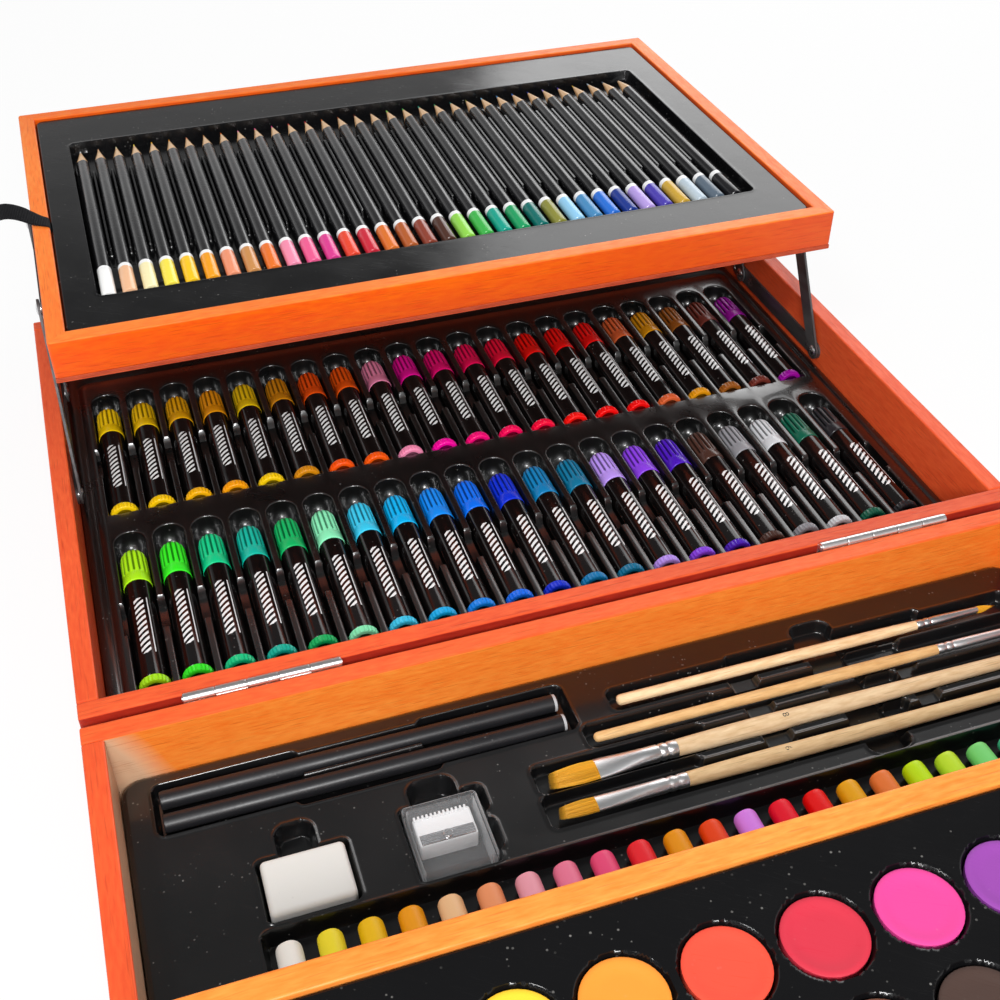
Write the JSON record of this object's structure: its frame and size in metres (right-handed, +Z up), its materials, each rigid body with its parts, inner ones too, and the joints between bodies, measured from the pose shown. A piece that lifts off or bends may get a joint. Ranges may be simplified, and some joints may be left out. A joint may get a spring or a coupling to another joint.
{
  "type": "pencil drawer box",
  "caption": "Hinged wooden art case lying open flat, with a lift-out tray on swinging links in each half, full of pencils, markers, brushes and pastels.",
  "frame": {"origin": "centre of the underside of the half with the handle and the markers, on the table", "axes": "+Z up, +X along the hinges to the right, +Y from the lid half to the handle half"},
  "size_m": [0.4515, 0.8909, 0.1194],
  "materials": {
    "red_stained_wood": "satin stain and lacquer",
    "board_wood": "stained plywood",
    "orange_stained_wood": "satin stain and lacquer",
    "black_insert": "vacuum-formed sheet, satin to gloss",
    "black_gloss_plastic": "gloss",
    "marker_colour": "gloss, one colour per marker",
    "dark_steel": "dark zinc",
    "bright_steel": "bright zinc",
    "pencil_paint": "matt paint with glossy dipped ends, one colour per pencil",
    "black_ribbon": "satin ribbon",
    "black_stick": "satin",
    "clear_plastic": "clear moulded plastic",
    "sharpener_metal": "cast metal",
    "eraser_rubber": "matt",
    "raw_wood": "raw birch",
    "ferrule_aluminium": "bright, crimped",
    "brush_hair": "synthetic hair",
    "pastel_wax": "waxy, one colour per stick",
    "paper_wrap": "printed paper, stored plain",
    "paint": "dry watercolour, one colour per cake",
    "handle_plastic": "moulded"
  },
  "bodies": {
    "base": {"base_hinge_wall": "red_stained_wood", "base_handle_wall": "red_stained_wood", "base_left_wall": "red_stained_wood", "base_right_wall": "red_stained_wood", "base_board": "board_wood", "marker_insert": "black_insert", "marker_barrels": "black_gloss_plastic", "marker_caps": "marker_colour", "marker_end_plugs": "marker_colour", "base_rails": "dark_steel", "base_rivets": "bright_steel", "base_wood_screws": "bright_steel", "base_hinge_leaves": "bright_steel", "hinge_pins": "bright_steel", "handle_brackets": "bright_steel", "latch_catches": "bright_steel"},
    "pencil_front_arms": {"pencil_front_links": "dark_steel"},
    "pencil_rear_arms": {"pencil_rear_links": "dark_steel"},
    "pencil_tray": {"pencil_tray_front_wall": "orange_stained_wood", "pencil_tray_rear_wall": "orange_stained_wood", "pencil_tray_side_walls": "orange_stained_wood", "pencil_tray_board": "board_wood", "pencil_insert": "black_insert", "pencils": "pencil_paint", "pencil_tray_rails": "dark_steel", "pencil_tray_fixings": "bright_steel", "pull_ribbon": "black_ribbon"},
    "lid": {"lid_hinge_wall": "red_stained_wood", "lid_latch_wall": "red_stained_wood", "lid_left_wall": "red_stained_wood", "lid_right_wall": "red_stained_wood", "lid_board": "board_wood", "tool_insert": "black_insert", "sketch_sticks": "black_stick", "sharpener_case": "clear_plastic", "sharpener": "sharpener_metal", "eraser": "eraser_rubber", "brush_handles": "raw_wood", "brush_ferrules": "ferrule_aluminium", "brush_tufts": "brush_hair", "pastel_sticks": "pastel_wax", "pastel_papers": "paper_wrap", "lid_rails": "dark_steel", "lid_rivets": "bright_steel", "lid_wood_screws": "bright_steel", "lid_hinge_leaves": "bright_steel", "latch_plates": "bright_steel"},
    "lid_front_arms": {"lid_front_links": "dark_steel"},
    "lid_rear_arms": {"lid_rear_links": "dark_steel"},
    "lid_tray": {"lid_tray_long_walls": "orange_stained_wood", "lid_tray_side_walls": "orange_stained_wood", "lid_tray_board": "board_wood", "paint_insert": "black_insert", "paint_cakes": "paint", "wax_crayons": "pastel_wax", "lid_tray_rails": "dark_steel", "lid_tray_fixings": "bright_steel"},
    "handle": {"carry_handle": "handle_plastic"},
    "left_latch": {"left_latch_lever": "bright_steel"},
    "right_latch": {"right_latch_lever": "bright_steel"}
  },
  "joints": [
    {"name": "pencil_tray_lift", "type": "hinge", "parent": "base", "child": "pencil_front_arms", "pos_m": [0, 0.0164, 0.024], "axis": [1, 0, 0], "range_deg": [0, 114.4]},
    {"name": "pencil_rear_swing", "type": "hinge", "parent": "base", "child": "pencil_rear_arms", "pos_m": [0, 0.1104, 0.024], "axis": [1, 0, 0], "range_deg": [0, 114.4]},
    {"name": "pencil_tray_level", "type": "hinge", "parent": "pencil_front_arms", "child": "pencil_tray", "pos_m": [0, 0.06507, 0.105], "axis": [1, 0, 0], "range_deg": [-114.4, 0]},
    {"name": "lid_hinge", "type": "hinge", "parent": "base", "child": "lid", "pos_m": [0, -0.15935, 0.045], "axis": [-1, 0, 0], "range_deg": [0, 130]},
    {"name": "lid_tray_lift", "type": "hinge", "parent": "lid", "child": "lid_front_arms", "pos_m": [0, -0.3351, 0.024], "axis": [-1, 0, 0], "range_deg": [0, 114.4]},
    {"name": "lid_rear_swing", "type": "hinge", "parent": "lid", "child": "lid_rear_arms", "pos_m": [0, -0.4291, 0.024], "axis": [-1, 0, 0], "range_deg": [0, 114.4]},
    {"name": "lid_tray_level", "type": "hinge", "parent": "lid_front_arms", "child": "lid_tray", "pos_m": [0, -0.38377, 0.105], "axis": [-1, 0, 0], "range_deg": [-114.4, 0]},
    {"name": "handle_swing", "type": "hinge", "parent": "base", "child": "handle", "pos_m": [0, 0.163, 0.0225], "axis": [1, 0, 0], "range_deg": [0, 125]},
    {"name": "left_latch_swing", "type": "hinge", "parent": "lid", "child": "left_latch", "pos_m": [-0.12, -0.4789, 0.031], "axis": [-1, 0, 0], "range_deg": [0, 180]},
    {"name": "right_latch_swing", "type": "hinge", "parent": "lid", "child": "right_latch", "pos_m": [0.12, -0.4789, 0.031], "axis": [-1, 0, 0], "range_deg": [0, 180]}
  ],
  "couplings": [
    {"joint": "pencil_rear_swing", "follows": "pencil_tray_lift", "ratio": 1},
    {"joint": "pencil_tray_level", "follows": "pencil_tray_lift", "ratio": -1},
    {"joint": "lid_rear_swing", "follows": "lid_tray_lift", "ratio": 1},
    {"joint": "lid_tray_level", "follows": "lid_tray_lift", "ratio": -1}
  ]
}
